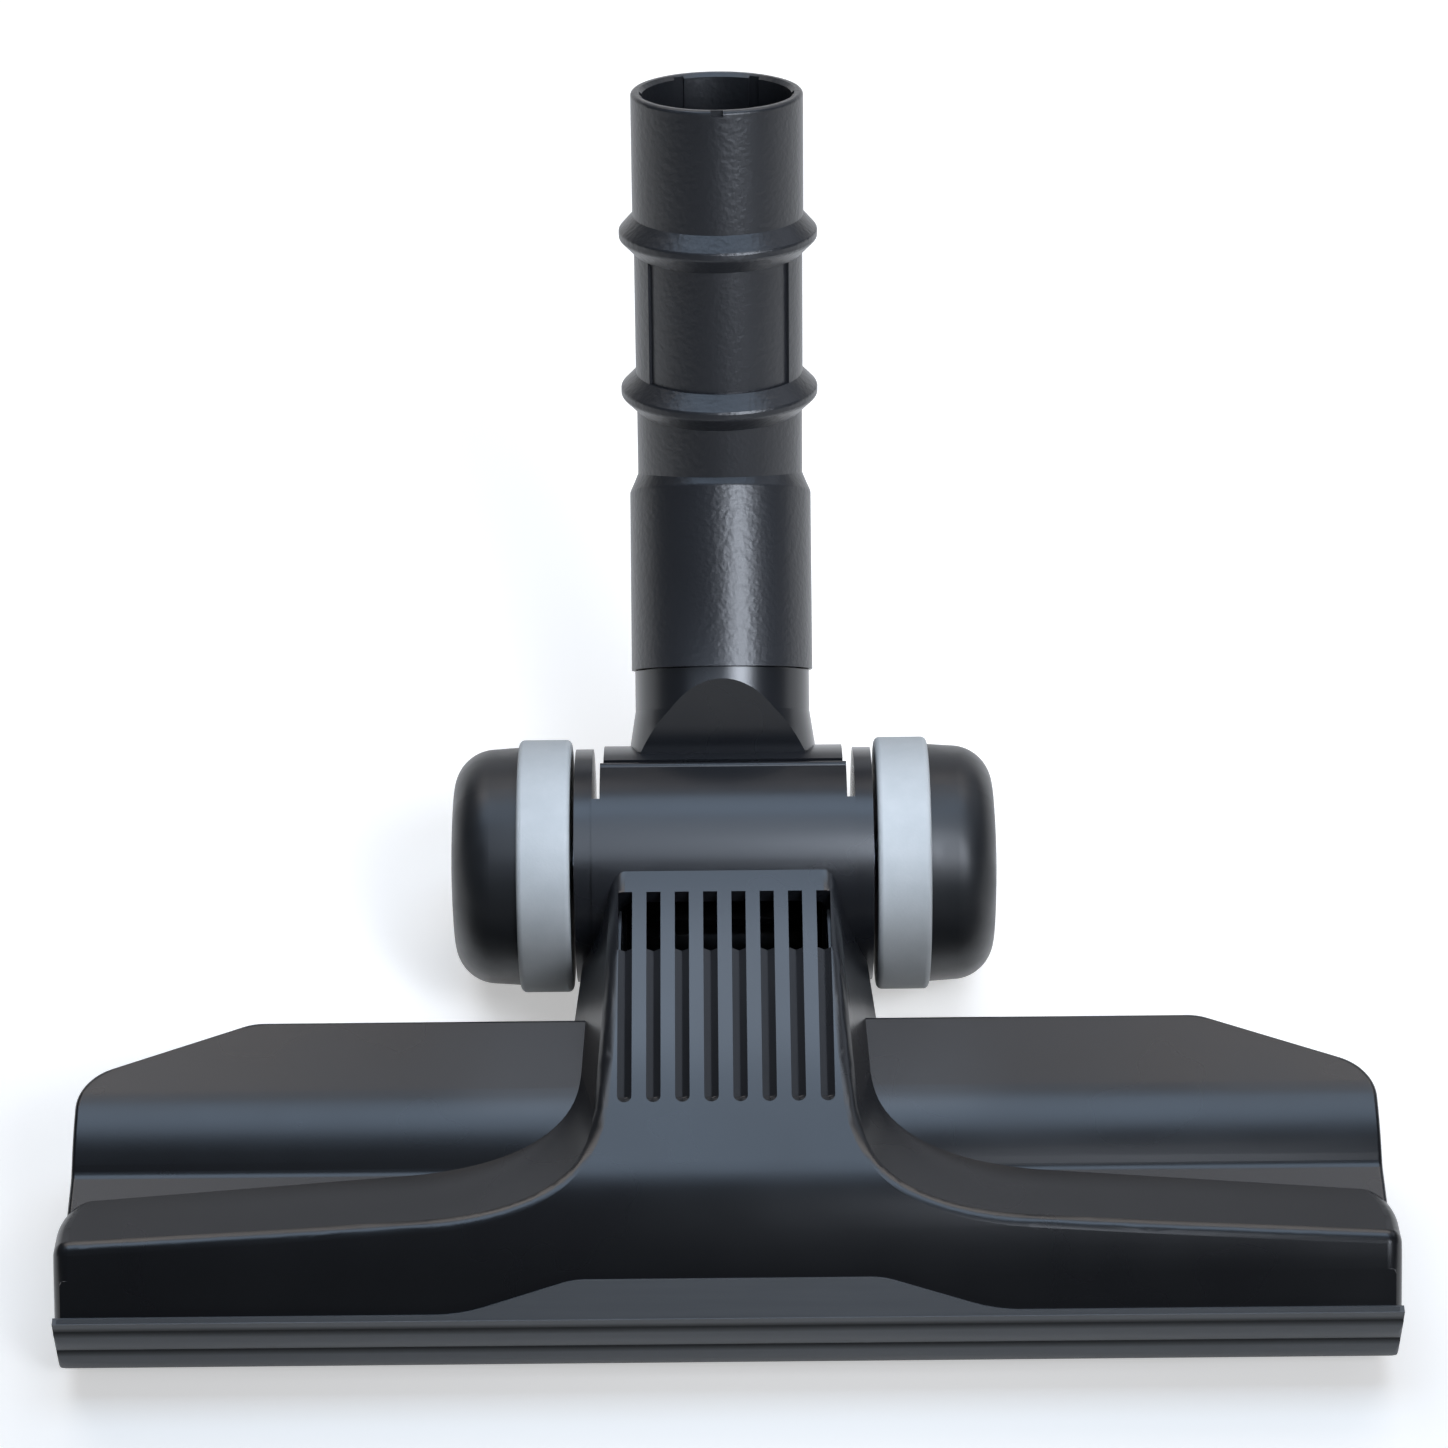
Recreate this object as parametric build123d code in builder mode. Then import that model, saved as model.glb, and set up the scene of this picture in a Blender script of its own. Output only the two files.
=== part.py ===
from build123d import *
import os
from math import asin, cos, degrees, radians, sin, tan

# Vacuum floor brush head: a wide hard-floor brush with a soft bumper, a ribbed neck that carries two wheels,
# a drum elbow that tilts between the wheels and a bent wand tube that swivels on the elbow.
# Millimetres. X runs across the head, -Y is the front, +Z is up and the floor is Z = 0.

# Clearances
wall = 2.4                  # moulded wall of the housing
fit_gap = 0.3               # between pieces that move past each other
seat_gap = 0.15             # between pieces fitted together by hand
running_gap = 0.05          # radial, a shaft in its bore

# Wheels
wheel_radius = 27.5         # over the tyre
tyre_width = 11.4
tyre_thickness = 3.2
tyre_edge = 1.2             # rounding of the tyre's shoulders
cap_radius = 25.9           # black cap outside the tyre
cap_width = 14.9
cap_taper = 0.9             # the cap narrows by this before its rounded corner
cap_corner = 9.0
cap_dome = 1.6              # bulge of the cap's end face
wheel_wall = 2.2
hub_radius = 6.5
hub_length = 9.0
cap_plug = 3.0              # cap's ring inside the hub's rim

# Axle pins
pin_radius = 3.0
pin_grip = 6.0              # pin inside the drum's boss
pin_tail = 1.4              # pin past its clip
washer_radius = 9.0
washer_thickness = 0.6
clip_radius = 5.5
clip_thickness = 0.6

# Barrel housing around the drum, angles from straight ahead, upwards
barrel_radius = 26.0
barrel_wall = 2.3
barrel_half = 32.0          # middle of the head to the outer face of an ear
ear_thickness = 3.8
ear_radius = 25.4
lip_angle = 107.5
split_angle = -50.0         # the top shell ends here and the neck cover goes on
split_gap = 0.4             # degrees
rear_lip_angle = -118.5     # leaves room for the tube's flare at full tilt
lip_bead = 0.9
slit_width = 1.7
slit_end_angle = 83.0

# Drum elbow
drum_wall = 2.2
drum_gap = 2.4              # between the drum's end and the ear
drum_end = 2.5
drum_boss = 6.2
saddle_front_angle = 110.5
saddle_rear_angle = 188.0
window_low_angle = -95.0
window_high_angle = 35.0
window_half = 21.0
seal_margin = 2.0           # degrees, between a drum seal and the saddle
seal_width = 2.4
seal_depth = 1.0
seal_inset = 1.6

# Elbow tube and swivel, distances along the tube from the axle
tube_tilt = 50.0            # elbow tube, back from upright
elbow_radius = 19.0
flare_radius = 20.4
flare_start = 33.5
flare_end = 24.5
scallop_apex = 39.8
scallop_angle = 30.0
duct_radius = 15.0
seam = 42.2
spigot_radius = 16.9
spigot_length = 30.0
spigot_seal_from = 7.0      # from the seam
spigot_seal_width = 3.0
spigot_seal_depth = 1.0
clip_groove_from = 22.0     # from the seam
clip_groove_width = 2.0
clip_groove_depth = 1.0
clip_ring_overlap = 0.9     # the snap ring stands out of the spigot by this
clip_ring_gap = 30.0        # degrees

# Wand tube
wand_tilt = 26.5            # wand tube, back from upright
sleeve_radius = 19.75
sleeve_end = 81.5
shoulder_end = 90.0         # the shoulder's cone ends inside the throat
shoulder_radius = 16.1
bend_at = 84.0
bend_radius = 24.0
throat_radius = 17.95
grip_radius = 18.1
collar_radius = 18.35
ring_radius = 21.3
ring_width = 8.2
ring_crown = 1.6
ring_round = 0.8
shoulder_round = 1.5
low_ring = 21.2             # from the bend, along the wand tube
high_ring = 56.2
mouth = 87.0
socket_radius = 16.0        # bore for a 32 mm wand
socket_depth = 46.0
socket_lead = 0.8
flute_count = 6
flute_width = 2.4
flute_depth = 0.45
panel_angle = 112.0         # recessed panel between the rings, at the front
panel_depth = 0.7
nick_width = 2.6
nick_depth = 1.2

# Head
head_width = 274.6          # across the bumper
axle_to_front = 115.5       # axle to the foremost bead of the bumper
skirt_bottom = 6.0
bumper_thickness = 2.8
bumper_top = 20.0
bumper_bottom = 4.5
bumper_groove = 1.1
bumper_ledge = 2.4
bumper_edge = 1.0           # rounding of the bumper's ends, seen from above
bumper_corner = 3.0         # rounding of its lower corners, seen from the front
tab_half_top = 31.5
tab_half_foot = 54.5
tab_height = 7.0            # up the front face
tab_thickness = 1.1
tab_sweep = 35.0            # rounding of the tab's foot into the lip, and of its upper corners
tab_round = 16.0
front_face_angle = 48.0     # from level
crown_radius = 34.0
neck_top_z = 49.0           # height of the neck's top line over the axle
neck_slope = 8.1
flank_low_z = 24.6
flank_high_z = 48.0
arm_low_drop = 0.08         # the ridge runs forward by this for each mm out, at the two levels
arm_high_drop = 0.225
neck_low_rear = 29.3        # half widths of the neck at the two flank levels
neck_low_front = 35.6
neck_high_rear = 23.2
neck_high_front = 21.9
arm_low = 76.9              # axle to the ridge's rear line at the neck, at the two levels
arm_high = 131.3
arm_low_radius = 36.0
arm_high_radius = 38.4
ridge_round = 16.0          # rear corners of the ridge's ends, seen from above
ridge_lead = 4.0            # the rounding starts behind the flank by this
crest_radius = 3.4
neck_rear = 12.0            # axle to the neck's rear end, inside the barrel
duct_rear_half = 21.4       # half widths of the air duct inside the neck
duct_front_half = 23.4
duct_roof = 2.5             # under the vent grooves
duct_front = 96.0
duct_round = 3.0
ridge_hollow = 1.2          # hollow of the ridge above the valley

# Wings
wing_inset = 1.6            # wings end short of the bumper's ends
wing_back = 44.5
wing_top = 30.0
wave_at = 71.3              # corners of the wave's slope, before their rounding
wave_round = 40.0
wave_lead = 5.5             # the hollow under the wing starts to fall before the wave by this
valley_at = 81.2
valley_z = 25.6
valley_round = 4.0
corner_width = 37.5         # cut rear corner, across the head
corner_side = 59.0
corner_round = 11.0
wing_edge = 1.0

# Vent slots
slot_count = 8
slot_pitch = 6.0
slot_width = 3.0
slot_open_end = 36.8
slot_rear = 22.9
groove_depth = 0.9
groove_end = 71.8

# Sole
sole_thickness = 2.5
mouth_margin = 12.0         # mouth's end to the screws beside it
mouth_front = 92.0
mouth_rear = 72.0
mouth_corner = 6.0
brush_width = 8.0
brush_height = 4.6
bristle_width = 5.0
bristle_sink = 3.0          # bristles inside their holder
trough_wall = 2.0
front_brush_at = 102.0
front_brush_margin = 14.5   # brush end to the head's end
rear_brush_at = 60.0
rear_brush_reach = 3.0      # brush end past the start of the cut corner
tuft_pitch = 5.0
tuft_width = 4.2

# Screws
screw_radius = 1.5
screw_head_radius = 3.0
screw_head_height = 1.6
screw_length = 9.0
boss_radius = 4.2
drive_length = 3.6
drive_width = 0.8
drive_depth = 0.8
sole_screw_margin = 14.5    # screw to the head's end
sole_screw_places = (90.6, 73.4)
cover_screw_half = 18.5
cover_screw_at = 40.0

# Derived sizes
axle_z = wheel_radius
bend_reach = bend_radius * tan(radians(tube_tilt - wand_tilt) / 2)
mouth_y = bend_at * sin(radians(tube_tilt)) + mouth * sin(radians(wand_tilt))
rear_reach = mouth_y + collar_radius * cos(radians(wand_tilt))
axle_y = (axle_to_front - rear_reach) / 2
barrel_bore = barrel_radius - barrel_wall
drum_radius = barrel_bore - fit_gap
ear_inner = barrel_half - ear_thickness
drum_half = ear_inner - drum_gap
wheel_inner = barrel_half + washer_thickness + fit_gap
cap_inner = wheel_inner + tyre_width
cap_outer = cap_inner + cap_width
clip_at = wheel_inner + hub_length + fit_gap
tyre_seat = wheel_radius - tyre_thickness
skirt_front = axle_to_front - bumper_thickness
head_half = head_width / 2
wing_half = head_half - wing_inset
corner_half = head_half - corner_width
sole_screw_half = head_half - sole_screw_margin
mouth_half = sole_screw_half - mouth_margin
front_brush_half = head_half - front_brush_margin
rear_brush_half = corner_half + rear_brush_reach
sole_top = skirt_bottom + sole_thickness
brush_bottom = skirt_bottom + seat_gap
trough_ceiling = brush_bottom + brush_height + seat_gap
bumper_waist = axle_to_front - bumper_groove
bead_height = (bumper_top - bumper_ledge - bumper_bottom) / 2
flank_slope = (arm_high - arm_low) / (flank_high_z - flank_low_z)
end_flank = arm_low + (head_half - neck_low_front) * arm_low_drop
ridge_front = arm_high + head_half * arm_high_drop + ridge_round * 2
hollow_top = valley_z + ridge_hollow
face_wall = wall / sin(radians(front_face_angle))
hollow_front = skirt_front - (hollow_top - bumper_top) / tan(radians(front_face_angle)) - face_wall
bead_ring = barrel_radius - lip_bead / 2
bead_angle = radians(lip_angle) - lip_bead / barrel_radius
slit_inner = ear_inner - slit_width
seal_low_angle = saddle_rear_angle - 360 + seal_margin
seal_high_angle = saddle_front_angle - seal_margin
seal_at = seam + spigot_seal_from
clip_groove_at = seam + clip_groove_from
snap_groove_radius = spigot_radius + clip_ring_overlap + fit_gap
dome_edge = cap_radius - cap_taper
dome_radius = (dome_edge**2 + cap_dome**2) / (2 * cap_dome)
dome_angle = degrees(asin(dome_edge / dome_radius))
plug_outer = tyre_seat - wheel_wall - seat_gap
plug_inner = plug_outer - wheel_wall
screw_seat = skirt_bottom + screw_head_height
trough_margin = trough_wall + seat_gap

# Frames
axle_point = (axle_y, axle_z)
axle_axis = Axis((0, axle_y, axle_z), (1, 0, 0))


def side_point(ahead, height):
    """Point of the side plane, given as a distance ahead of the axle and a height."""
    return (axle_y - ahead, height)


def neck_top(ahead):
    """Height of the neck's top line at a distance ahead of the axle."""
    return neck_top_z - ahead * tan(radians(neck_slope))


def along(tilt):
    """Direction of a tube that leans back from upright by the tilt."""
    return Vector(0, sin(radians(tilt)), cos(radians(tilt)))


def ahead_of(tilt):
    """Direction square to a tilted tube, towards its front."""
    return Vector(0, -cos(radians(tilt)), sin(radians(tilt)))


axle_centre = Vector(0, axle_y, axle_z)
bend_point = axle_centre + along(tube_tilt) * bend_at
tube_axis = Axis(axle_centre, along(tube_tilt))
wand_axis = Axis(bend_point, along(wand_tilt))


def section_plane(origin, tilt, turn=90.0):
    """Half section of a tilted tube: radius along x, distance along y, turned from the front towards +X."""
    radial = ahead_of(tilt) * cos(radians(turn)) + Vector(1, 0, 0) * sin(radians(turn))
    return Plane(origin=origin, x_dir=radial, z_dir=radial.cross(along(tilt)))


def cross_plane(origin, tilt, distance):
    """Plane square to a tilted tube, with its x across the head."""
    return Plane(origin=origin + along(tilt) * distance, x_dir=(1, 0, 0), z_dir=along(tilt))


tube_section = section_plane(axle_centre, tube_tilt)
wand_section = section_plane(bend_point, wand_tilt)
bend_start = axle_centre + along(tube_tilt) * (bend_at - bend_reach)
bend_axis = Axis(bend_start + ahead_of(tube_tilt) * bend_radius, (1, 0, 0))
neck_normal = Vector(0, -sin(radians(neck_slope)), cos(radians(neck_slope)))
front_face = Plane(
    origin=(0, axle_y - skirt_front, bumper_top),
    x_dir=(1, 0, 0),
    z_dir=(0, -sin(radians(front_face_angle)), cos(radians(front_face_angle))),
)


def tube_point(forward, distance):
    """Side-plane point of the elbow tube, from a distance in front of its axis and one along it."""
    spot = axle_centre + along(tube_tilt) * distance + ahead_of(tube_tilt) * forward
    return (spot.Y, spot.Z)


def ring_sector(inner, outer, low, high):
    """Face of a ring sector around the axle, between two angles from straight ahead, upwards."""
    with BuildSketch() as sector:
        with BuildLine():
            inside = CenterArc(axle_point, inner, 180 - low, low - high)
            outside = CenterArc(axle_point, outer, 180 - low, low - high)
            Line(inside @ 0, outside @ 0)
            Line(inside @ 1, outside @ 1)
        make_face()
    return sector.sketch


def save(block, label):
    """Label a finished piece and write it."""
    block.part.label = label
    export_step(block.part, f"parts/{label}.step")


os.makedirs("parts", exist_ok=True)


# Wings: the low rear wave of the top shell, cut to the head's outline
def head_outline(inset):
    """Plan of the wings: square at the front, with cut rear corners."""
    side = wing_half - inset
    with BuildSketch() as outline:
        with BuildLine():
            FilletPolyline(
                (0, axle_y - wing_back - inset),
                (corner_half - inset / 2, axle_y - wing_back - inset),
                (side, axle_y - corner_side - inset / 2),
                (side, axle_y - skirt_front + inset),
                (0, axle_y - skirt_front + inset),
                radius=(corner_round, corner_round, 0),
            )
            mirror(about=Plane.YZ)
        make_face()
    return outline.sketch


with BuildPart() as wings:
    with BuildSketch(Plane.YZ):
        with BuildLine():
            FilletPolyline(
                side_point(wing_back, skirt_bottom),
                side_point(wing_back, wing_top),
                side_point(wave_at, wing_top),
                side_point(valley_at, valley_z),
                side_point(skirt_front - (valley_z - bumper_top) / tan(radians(front_face_angle)), valley_z),
                side_point(skirt_front, bumper_top),
                side_point(skirt_front, skirt_bottom),
                radius=(0, wave_round, valley_round, 0, 0),
            )
            Line(side_point(skirt_front, skirt_bottom), side_point(wing_back, skirt_bottom))
        make_face()
    extrude(amount=wing_half, both=True)
    with BuildSketch():
        add(head_outline(0))
    extrude(amount=wing_top * 2, mode=Mode.INTERSECT)
    rear_rim = wings.faces().group_by(Axis.Z)[-1].sort_by(Axis.Y)[-1].edges()
    fillet(rear_rim.filter_by(Axis.X, reverse=True) + rear_rim.sort_by(Axis.Y)[-1:], wing_edge)


# Raised body: the ribbed neck that runs out into the front ridge
def t_outline(rear_half, front_half, arm, drop, radius):
    """Plan of the raised body at one level, with a rounded inner corner."""
    with BuildSketch() as outline:
        with BuildLine():
            FilletPolyline(
                (rear_half, axle_y - neck_rear),
                (front_half, axle_y - arm),
                (head_half, axle_y - arm - (head_half - front_half) * drop),
                (head_half, axle_y - ridge_front),
                radius=(radius, 0),
            )
            Line((head_half, axle_y - ridge_front), (0, axle_y - ridge_front))
            Line((0, axle_y - neck_rear), (rear_half, axle_y - neck_rear))
            mirror(about=Plane.YZ)
        make_face()
    return outline.sketch


with BuildPart() as raised_body:
    with BuildSketch(Plane.XY.offset(flank_low_z)):
        add(t_outline(neck_low_rear, neck_low_front, arm_low, arm_low_drop, arm_low_radius))
    with BuildSketch(Plane.XY.offset(flank_high_z)):
        add(t_outline(neck_high_rear, neck_high_front, arm_high, arm_high_drop, arm_high_radius))
    loft(ruled=True)
    with BuildSketch(Plane.XY.offset(skirt_bottom)):
        add(t_outline(neck_low_rear, neck_low_front, arm_low, arm_low_drop, arm_low_radius))
    extrude(amount=flank_low_z - skirt_bottom)
    face_run = (neck_top(skirt_front) - bumper_top) / (
        tan(radians(front_face_angle)) - tan(radians(neck_slope))
    )
    with BuildSketch(Plane.YZ):
        with BuildLine():
            FilletPolyline(
                side_point(0, skirt_bottom),
                side_point(skirt_front, skirt_bottom),
                side_point(skirt_front, bumper_top),
                side_point(skirt_front - face_run, neck_top(skirt_front - face_run)),
                side_point(0, neck_top(0)),
                radius=(0, 0, crown_radius),
            )
            Line(side_point(0, neck_top(0)), side_point(0, skirt_bottom))
        make_face()
    extrude(amount=head_half, both=True, mode=Mode.INTERSECT)
    # Rear corners of the ridge's ends
    with BuildSketch(Plane.XY.offset(skirt_bottom)):
        with BuildLine():
            FilletPolyline(
                (0, axle_y),
                (head_half - ridge_round * 2, axle_y),
                (head_half - ridge_round * 2, axle_y - end_flank + ridge_lead),
                (head_half, axle_y - end_flank + ridge_lead),
                (head_half, axle_y - ridge_front),
                (0, axle_y - ridge_front),
                radius=(0, 0, ridge_round, 0),
            )
            mirror(about=Plane.YZ)
        make_face()
    extrude(amount=neck_top_z, mode=Mode.INTERSECT)
    upper = [face for face in raised_body.faces() if face.normal_at().Z > 0 == round(face.normal_at().X, 3)]
    ends = [
        face
        for face in raised_body.faces()
        if round(face.normal_at().Z, 3) == 0 and abs(face.center().X) > neck_low_front
    ]
    crest = [
        edge
        for edge in raised_body.edges().filter_by(Axis.X, reverse=True)
        if any(edge in face.edges() for face in upper)
        or edge.center().Z > flank_low_z and any(edge in face.edges() for face in ends)
    ]
    fillet(crest, crest_radius)


# Hollows of the top shell, with the screw bosses left standing in them
def duct_half(ahead):
    """Half width of the neck's air duct."""
    return duct_rear_half + (duct_front_half - duct_rear_half) * ahead / duct_front


def duct_top(ahead):
    """Height of the air duct's roof, under the vent grooves."""
    return neck_top(ahead) - groove_depth - duct_roof


def neck_plan(inset, rear, front):
    """Plan of the air duct, between two distances ahead of the axle."""
    with BuildSketch() as plan:
        with BuildLine():
            Polyline(
                (duct_half(rear) - inset, axle_y - rear),
                (duct_half(front) - inset, axle_y - front),
                (inset - duct_half(front), axle_y - front),
                (inset - duct_half(rear), axle_y - rear),
                close=True,
            )
        make_face()
    return plan.sketch


def spots(half, places):
    """Points on both sides of the head at distances ahead of the axle."""
    return [(side * half, axle_y - ahead) for side in (-1, 1) for ahead in places]


with BuildPart() as head_hollow:
    with BuildSketch(Plane.YZ):
        with BuildLine():
            Polyline(
                side_point(wing_back + wall, skirt_bottom),
                side_point(wing_back + wall, wing_top - wall),
                side_point(wave_at - wave_lead, wing_top - wall),
                side_point(valley_at - wall / 2, valley_z - wall),
                side_point(end_flank + (hollow_top + wall - flank_low_z) * flank_slope, hollow_top),
                side_point(hollow_front, hollow_top),
                side_point(skirt_front - wall, bumper_top - wall),
                side_point(skirt_front - wall, skirt_bottom),
                close=True,
            )
        make_face()
    extrude(amount=head_half, both=True)
    with BuildSketch():
        add(head_outline(wall))
    extrude(amount=wing_top, mode=Mode.INTERSECT)
    with BuildSketch(Plane.XY.offset(sole_top)):
        with Locations(spots(sole_screw_half, sole_screw_places)):
            Circle(boss_radius)
    extrude(amount=wing_top, mode=Mode.SUBTRACT)

with BuildPart() as neck_duct:
    with BuildSketch(Plane.XY.offset(skirt_bottom)):
        add(neck_plan(0, 0, duct_front))
    extrude(amount=neck_top_z)
    with BuildSketch(Plane.YZ):
        with BuildLine():
            Polyline(
                side_point(0, skirt_bottom),
                side_point(duct_front, skirt_bottom),
                side_point(duct_front, duct_top(duct_front)),
                side_point(0, duct_top(0)),
                close=True,
            )
        make_face()
    extrude(amount=head_half, both=True, mode=Mode.INTERSECT)
    roof_sides = neck_duct.faces().sort_by(Axis.Z)[-1].edges().filter_by(Axis.X, reverse=True)
    fillet(roof_sides, duct_round)
    with BuildSketch(Plane.XY.offset(sole_top)):
        with Locations(spots(cover_screw_half, (cover_screw_at,))):
            Circle(boss_radius)
    extrude(amount=neck_top_z, mode=Mode.SUBTRACT)

# Top shell: wings, neck and the barrel housing with its two ears, in one moulding
with BuildPart() as top_shell:
    add(wings.part)
    add(raised_body.part)
    with BuildSketch(Plane.YZ):
        add(ring_sector(barrel_bore, barrel_radius, split_angle, lip_angle))
    extrude(amount=ear_inner, both=True)
    add(head_hollow.part, mode=Mode.SUBTRACT)
    add(neck_duct.part, mode=Mode.SUBTRACT)
    # Room for the drum, and for the trough of the neck cover
    with BuildSketch(Plane.YZ):
        with Locations(axle_point):
            Circle(barrel_bore)
        add(ring_sector(drum_radius, barrel_radius + seat_gap, rear_lip_angle, split_angle))
    extrude(amount=ear_inner, both=True, mode=Mode.SUBTRACT)
    for side in (-1, 1):
        with BuildSketch(Plane.YZ.offset(side * barrel_half)):
            with Locations(axle_point):
                Circle(ear_radius)
                Circle(pin_radius, mode=Mode.SUBTRACT)
        extrude(amount=-side * ear_thickness)
    # Bead along the barrel's lip, and the slits that set the lip free of the ears
    with BuildSketch(Plane.YZ):
        with Locations(side_point(bead_ring * cos(bead_angle), axle_z + bead_ring * sin(bead_angle))):
            Circle(lip_bead)
    extrude(amount=slit_inner, both=True)
    for side in (-1, 1):
        with BuildSketch(Plane.XY.offset(axle_z)):
            with Locations((side * slit_inner, axle_y - barrel_radius * cos(radians(slit_end_angle)))):
                Rectangle(
                    slit_width,
                    barrel_radius,
                    align=(Align.MIN if side > 0 else Align.MAX, Align.MIN),
                )
        extrude(amount=barrel_radius, mode=Mode.SUBTRACT)
    # Vent slots, each running on forwards as a V-shaped groove with a rounded end
    for index in range(slot_count):
        across = (index - (slot_count - 1) / 2) * slot_pitch
        with BuildSketch(Plane.YZ.offset(across)):
            with BuildLine():
                Polyline(
                    side_point(slot_rear, barrel_radius + axle_z),
                    side_point(slot_rear, duct_top(slot_rear) - duct_round),
                    side_point(slot_open_end, duct_top(slot_open_end) - duct_round),
                    side_point(slot_open_end, barrel_radius + axle_z),
                    close=True,
                )
            make_face()
        extrude(amount=slot_width / 2, both=True, mode=Mode.SUBTRACT)
        groove_tip = Plane(
            origin=(across, axle_y - groove_end, neck_top(groove_end)), x_dir=(1, 0, 0), z_dir=neck_normal
        )
        with BuildSketch(Plane(origin=groove_tip.origin, x_dir=(1, 0, 0), z_dir=groove_tip.y_dir)):
            with BuildLine():
                Polyline(
                    (-slot_width / 2, -groove_depth),
                    (-slot_width / 2, 0),
                    (0, groove_depth),
                    (slot_width / 2, 0),
                    (slot_width / 2, -groove_depth),
                    close=True,
                )
            make_face()
        extrude(amount=(groove_end - slot_open_end) / cos(radians(neck_slope)), mode=Mode.SUBTRACT)
        with Locations(groove_tip):
            Cone(
                0,
                slot_width / 2,
                groove_depth,
                align=(Align.CENTER, Align.CENTER, Align.MAX),
                mode=Mode.SUBTRACT,
            )
    # Pilot holes of the screws
    with BuildSketch(Plane.XY.offset(screw_seat)):
        with Locations(spots(sole_screw_half, sole_screw_places)):
            Circle(screw_radius)
        with Locations(spots(cover_screw_half, (cover_screw_at,))):
            Circle(screw_radius)
    extrude(amount=screw_length, mode=Mode.SUBTRACT)
save(top_shell, "top_shell")

# Neck cover: floor of the air duct with the trough under the drum
with BuildPart() as neck_cover:
    with BuildSketch(Plane.XY.offset(skirt_bottom)):
        add(neck_plan(seat_gap, neck_rear, wing_back + wall))
    extrude(amount=sole_thickness)
    with BuildSketch(Plane.YZ):
        add(ring_sector(barrel_bore, barrel_radius, rear_lip_angle, split_angle - split_gap))
    extrude(amount=ear_inner - seat_gap, both=True)
    with BuildSketch(Plane.YZ):
        with Locations(axle_point):
            Circle(barrel_bore)
    extrude(amount=ear_inner, both=True, mode=Mode.SUBTRACT)
    with BuildSketch(Plane.XY.offset(skirt_bottom)):
        with Locations(spots(cover_screw_half, (cover_screw_at,))):
            Circle(screw_head_radius + seat_gap)
    extrude(amount=screw_head_height, mode=Mode.SUBTRACT)
    with BuildSketch(Plane.XY.offset(screw_seat)):
        with Locations(spots(cover_screw_half, (cover_screw_at,))):
            Circle(screw_radius + seat_gap)
    extrude(amount=sole_thickness, mode=Mode.SUBTRACT)
save(neck_cover, "neck_cover")


# Elbow: a hollow drum that tilts in the barrel, with the tube that the wand tube swivels on
def scallop(inset):
    """Side view of the wedge cut out of the front of the elbow tube."""
    with BuildSketch() as wedge:
        with BuildLine():
            Polyline(
                tube_point(elbow_radius - inset, scallop_apex),
                tube_point(elbow_radius - inset - scallop_apex * tan(radians(scallop_angle)), 0),
                tube_point(flare_radius * 2, 0),
                tube_point(flare_radius * 2, scallop_apex),
                close=True,
            )
        make_face()
    return wedge.sketch


with BuildPart() as elbow_hollow:
    with BuildSketch(tube_section):
        Rectangle(duct_radius, seam + spigot_length, align=(Align.MIN, Align.MIN))
    revolve(axis=tube_axis)
    with BuildSketch(Plane.YZ):
        add(scallop(wall / cos(radians(scallop_angle))))
    extrude(amount=flare_radius, both=True, mode=Mode.SUBTRACT)
    with BuildSketch(Plane.YZ):
        with Locations(axle_point):
            Circle(drum_radius - drum_wall)
    extrude(amount=drum_half - drum_end, both=True)
    for side in (-1, 1):
        with BuildSketch(Plane.YZ.offset(side * drum_half)):
            with Locations(axle_point):
                Circle(drum_boss)
        extrude(amount=-side * (pin_grip + drum_end), mode=Mode.SUBTRACT)

with BuildPart() as elbow:
    with BuildSketch(tube_section):
        with BuildLine():
            Polyline(
                (0, 0),
                (flare_radius, 0),
                (flare_radius, flare_end),
                (elbow_radius, flare_start),
                (elbow_radius, seam),
                (spigot_radius, seam),
                (spigot_radius, seam + spigot_length),
                (0, seam + spigot_length),
                close=True,
            )
        make_face()
    revolve(axis=tube_axis)
    with BuildSketch(Plane.YZ):
        add(scallop(0))
    extrude(amount=flare_radius, both=True, mode=Mode.SUBTRACT)
    with BuildSketch(Plane.YZ):
        with Locations(axle_point):
            Circle(drum_radius)
        add(ring_sector(drum_radius, barrel_radius, saddle_front_angle, saddle_rear_angle))
    extrude(amount=drum_half, both=True)
    add(elbow_hollow.part, mode=Mode.SUBTRACT)
    # Air window towards the neck, seal grooves and pin bores
    with BuildSketch(Plane.YZ):
        add(ring_sector(drum_radius - drum_wall * 2, barrel_radius, window_low_angle, window_high_angle))
    extrude(amount=window_half, both=True, mode=Mode.SUBTRACT)
    for side in (-1, 1):
        with BuildSketch(Plane.YZ.offset(side * (drum_half - seal_inset))):
            add(ring_sector(drum_radius - seal_depth, drum_radius, seal_low_angle, seal_high_angle))
        extrude(amount=-side * seal_width, mode=Mode.SUBTRACT)
        with BuildSketch(Plane.YZ.offset(side * drum_half)):
            with Locations(axle_point):
                Circle(pin_radius + running_gap)
        extrude(amount=-side * (pin_grip + fit_gap), mode=Mode.SUBTRACT)
    with BuildSketch(tube_section):
        with Locations((spigot_radius, seal_at)):
            Rectangle(spigot_seal_depth, spigot_seal_width, align=(Align.MAX, Align.MIN))
        with Locations((spigot_radius, clip_groove_at)):
            Rectangle(clip_groove_depth, clip_groove_width, align=(Align.MAX, Align.MIN))
    revolve(axis=tube_axis, mode=Mode.SUBTRACT)
save(elbow, "elbow")

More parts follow.
